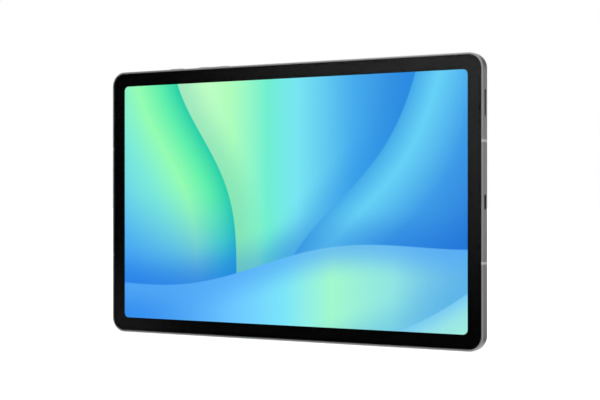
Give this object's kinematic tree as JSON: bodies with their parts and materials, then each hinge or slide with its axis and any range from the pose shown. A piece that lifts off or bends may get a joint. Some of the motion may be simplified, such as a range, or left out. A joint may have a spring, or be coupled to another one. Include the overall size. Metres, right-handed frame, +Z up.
{
  "type": "tablet computer",
  "caption": "Slim flat tablet computer with a glass touch screen in a milled metal housing, side keys, a card tray, speakers, a charging socket and front and rear cameras.",
  "frame": {"origin": "middle of the bottom long edge, on the surface the tablet stands on, halfway between the front rim and the rear camera's ring", "axes": "+X to the right of the screen along the long edge, +Z up along the short edge, the screen faces -Y"},
  "size_m": [0.2542, 0.0074, 0.1664],
  "materials": {
    "anodised_aluminium": "satin anodised grey, bead blasted",
    "antenna_plastic": "smooth satin grey",
    "cover_glass": "polished",
    "camera_glass": "polished, faint coating",
    "display": "lit picture of soft blue, aqua and green shapes",
    "white_diffuser": "matte white",
    "black_plastic": "fine matte",
    "magnesium": "cast matte",
    "battery_pouch": "foil",
    "circuit_board": "solder mask",
    "chip_resin": "moulded resin",
    "steel": "plain stamped",
    "flex_film": "amber film",
    "gold_contact": "gold plated"
  },
  "bodies": {
    "tablet": {"rear_housing": "anodised_aluminium", "rear_camera_ring": "anodised_aluminium", "antenna_band_right_upper": "antenna_plastic", "antenna_band_right_lower": "antenna_plastic", "antenna_band_left_upper": "antenna_plastic", "antenna_band_left_lower": "antenna_plastic", "front_glass": "cover_glass", "front_camera_lens": "camera_glass", "rear_camera_window": "camera_glass", "display_panel": "display", "backlight_unit": "white_diffuser", "glass_adhesive": "black_plastic", "usb_seal": "black_plastic", "usb_tongue": "black_plastic", "speaker_box_right": "black_plastic", "speaker_box_left": "black_plastic", "contact_strip": "black_plastic", "middle_plate": "magnesium", "battery_left": "battery_pouch", "battery_right": "battery_pouch", "mainboard": "circuit_board", "usb_board": "circuit_board", "processor": "chip_resin", "memory_chip": "chip_resin", "front_camera_body": "chip_resin", "rear_camera_body": "chip_resin", "rear_camera_sensor": "chip_resin", "processor_shield": "steel", "usb_shell": "steel", "speaker_grille_right": "steel", "speaker_grille_left": "steel", "key_bracket": "steel", "card_socket": "steel", "eject_pivot": "steel", "microphone": "steel", "power_dome": "steel", "volume_up_dome": "steel", "volume_down_dome": "steel", "plate_screw_1": "steel", "plate_screw_2": "steel", "plate_screw_3": "steel", "plate_screw_4": "steel", "plate_screw_5": "steel", "plate_screw_6": "steel", "battery_flex": "flex_film", "side_flex": "flex_film", "display_flex": "flex_film", "key_flex": "flex_film", "contact_pin_1": "gold_contact", "contact_pin_2": "gold_contact", "contact_pin_3": "gold_contact"},
    "power_key": {"power_key": "anodised_aluminium"},
    "volume_key": {"volume_key": "anodised_aluminium"},
    "card_tray": {"card_tray": "anodised_aluminium"},
    "eject_rod": {"eject_rod": "steel"},
    "eject_lever": {"eject_lever": "steel"},
    "focus_barrel": {"rear_camera_barrel": "black_plastic", "rear_camera_lens": "camera_glass"},
    "diaphragm_right": {"speaker_diaphragm_right": "battery_pouch"},
    "diaphragm_left": {"speaker_diaphragm_left": "battery_pouch"}
  },
  "joints": [
    {"name": "power_press", "type": "slide", "parent": "tablet", "child": "power_key", "axis": [0, 0, -1], "range_m": [0, 0.00025], "stiffness_N_per_m": 4000},
    {"name": "volume_rock", "type": "hinge", "parent": "tablet", "child": "volume_key", "pos_m": [-0.0513, -0.0004, 0.1622], "axis": [0, 1, 0], "range_deg": [-1.2, 1.2], "stiffness_Nm_per_rad": 0.5},
    {"name": "tray_slide", "type": "slide", "parent": "tablet", "child": "card_tray", "axis": [-1, 0, 0], "range_m": [0, 0.016]},
    {"name": "eject_push", "type": "slide", "parent": "tablet", "child": "eject_rod", "axis": [1, 0, 0], "range_m": [0, 0.0015]},
    {"name": "eject_swing", "type": "hinge", "parent": "tablet", "child": "eject_lever", "pos_m": [-0.1066, -0.0004, 0.0413], "axis": [0, 1, 0], "range_deg": [0, 25]},
    {"name": "focus_slide", "type": "slide", "parent": "tablet", "child": "focus_barrel", "axis": [0, 1, 0], "range_m": [0, 0.0003], "stiffness_N_per_m": 100},
    {"name": "diaphragm_right_move", "type": "slide", "parent": "tablet", "child": "diaphragm_right", "axis": [0, 1, 0], "range_m": [-0.0003, 0.0003], "stiffness_N_per_m": 600},
    {"name": "diaphragm_left_move", "type": "slide", "parent": "tablet", "child": "diaphragm_left", "axis": [0, 1, 0], "range_m": [-0.0003, 0.0003], "stiffness_N_per_m": 600}
  ],
  "couplings": [
    {"joint": "eject_swing", "follows": "eject_push", "rad_per_m": 290.89}
  ]
}
